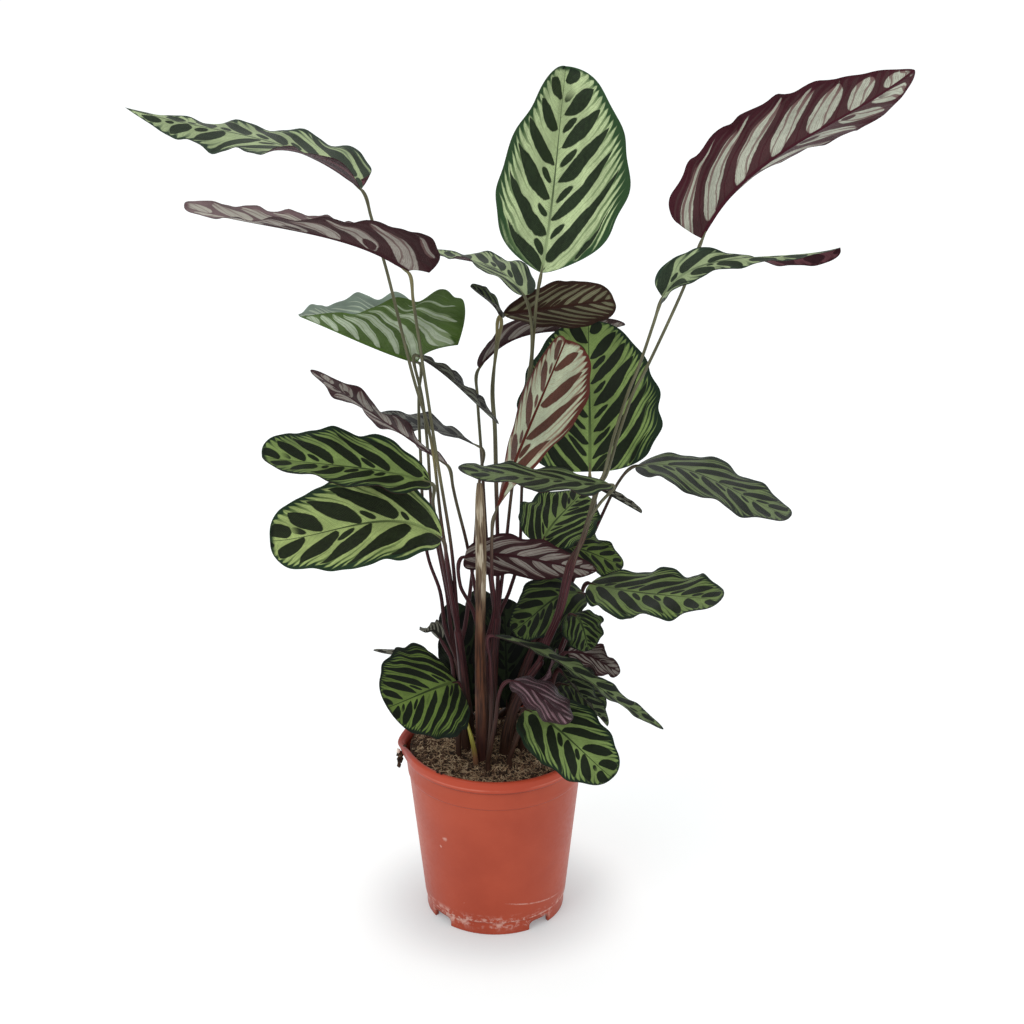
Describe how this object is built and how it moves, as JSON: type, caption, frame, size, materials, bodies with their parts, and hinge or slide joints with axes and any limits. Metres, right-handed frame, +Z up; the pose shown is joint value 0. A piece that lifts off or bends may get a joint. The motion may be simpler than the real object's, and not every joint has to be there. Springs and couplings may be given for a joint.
{
  "type": "potted peacock plant",
  "caption": "Potted peacock plant with patterned oval leaves, maroon below, on long stalks in a terracotta-red nursery pot.",
  "frame": {"origin": "middle of the pot's underside, on the floor plane", "axes": "+Z up along the pot's axis, -Y towards the viewer of the picture, +X to the viewer's right"},
  "size_m": [0.6644, 0.2692, 0.8482],
  "materials": {
    "terracotta_plastic": "satin moulded plastic, terracotta red",
    "peat": "crumbly dark peat with straw fibres",
    "leaf_green": "satin green blade with dark ovals, maroon below",
    "stem_maroon": "matte stalk, olive above and maroon below",
    "spear_tan": "dry papery beige",
    "sprout_green": "fresh yellow green"
  },
  "bodies": {
    "root": {"leaf_01": "leaf_green", "leaf_02": "leaf_green", "leaf_03": "leaf_green", "leaf_04": "leaf_green", "leaf_05": "leaf_green", "leaf_06": "leaf_green", "leaf_07": "leaf_green", "leaf_08": "leaf_green", "leaf_09": "leaf_green", "leaf_10": "leaf_green", "leaf_11": "leaf_green", "leaf_12": "leaf_green", "leaf_13": "leaf_green", "leaf_14": "leaf_green", "leaf_15": "leaf_green", "leaf_16": "leaf_green", "leaf_17": "leaf_green", "leaf_18": "leaf_green", "leaf_19": "leaf_green", "leaf_20": "leaf_green", "leaf_21": "leaf_green", "leaf_22": "leaf_green", "leaf_23": "leaf_green", "leaf_24": "leaf_green", "leaf_25": "leaf_green", "leaf_26": "leaf_green", "leaf_27": "leaf_green", "leaf_28": "leaf_green", "leaf_29": "leaf_green", "leaf_30": "leaf_green", "leaf_31": "leaf_green", "leaf_32": "leaf_green", "leaf_33": "leaf_green", "leaf_34": "leaf_green", "leaf_35": "leaf_green", "leaf_36": "leaf_green", "leaf_37": "leaf_green", "leaf_38": "leaf_green", "leaf_39": "leaf_green", "leaf_40": "leaf_green", "leaf_41": "leaf_green", "pot": "terracotta_plastic", "shoot_01": "stem_maroon", "shoot_02": "stem_maroon", "shoot_03": "stem_maroon", "shoot_04": "stem_maroon", "shoot_05": "stem_maroon", "shoot_06": "stem_maroon", "shoot_07": "stem_maroon", "shoot_08": "stem_maroon", "shoot_09": "stem_maroon", "shoot_10": "stem_maroon", "shoot_11": "stem_maroon", "shoot_12": "stem_maroon", "shoot_13": "stem_maroon", "soil": "peat", "spear": "spear_tan", "sprout": "sprout_green"}
  },
  "joints": []
}
